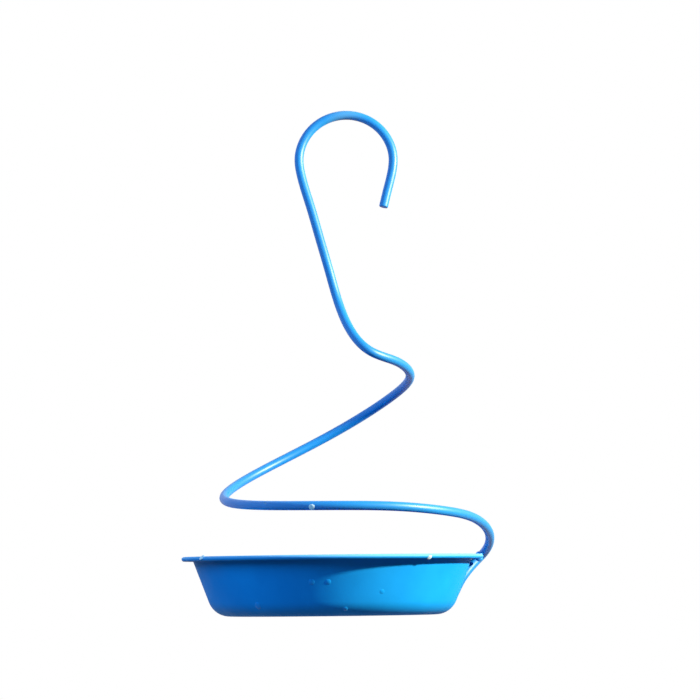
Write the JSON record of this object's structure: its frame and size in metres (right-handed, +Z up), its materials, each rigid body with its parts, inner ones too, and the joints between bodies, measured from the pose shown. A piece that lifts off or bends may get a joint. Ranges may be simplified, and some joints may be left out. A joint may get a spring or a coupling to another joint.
{
  "type": "hanging bird feeder",
  "caption": "Round coated-steel dish for mealworms, hung from one bent rod that makes a hook, a leg and an opening spiral welded to the dish's outer wall.",
  "frame": {"origin": "centre of the dish's flat underside", "axes": "+Z up along the dish's axis, +X to the right and +Y away from a viewer who sees the hook face on"},
  "size_m": [0.2071, 0.199, 0.3349],
  "materials": {
    "dish_coat": "glossy blue powder coat on pressed steel sheet",
    "hanger_coat": "glossy blue powder coat on bent steel rod",
    "weld_coat": "blue powder coat over weld beads"
  },
  "bodies": {
    "root": {"dish": "dish_coat", "spiral_hanger": "hanger_coat", "rim_tack_weld": "weld_coat", "wall_weld_front": "weld_coat", "wall_weld_back": "weld_coat"}
  },
  "joints": []
}
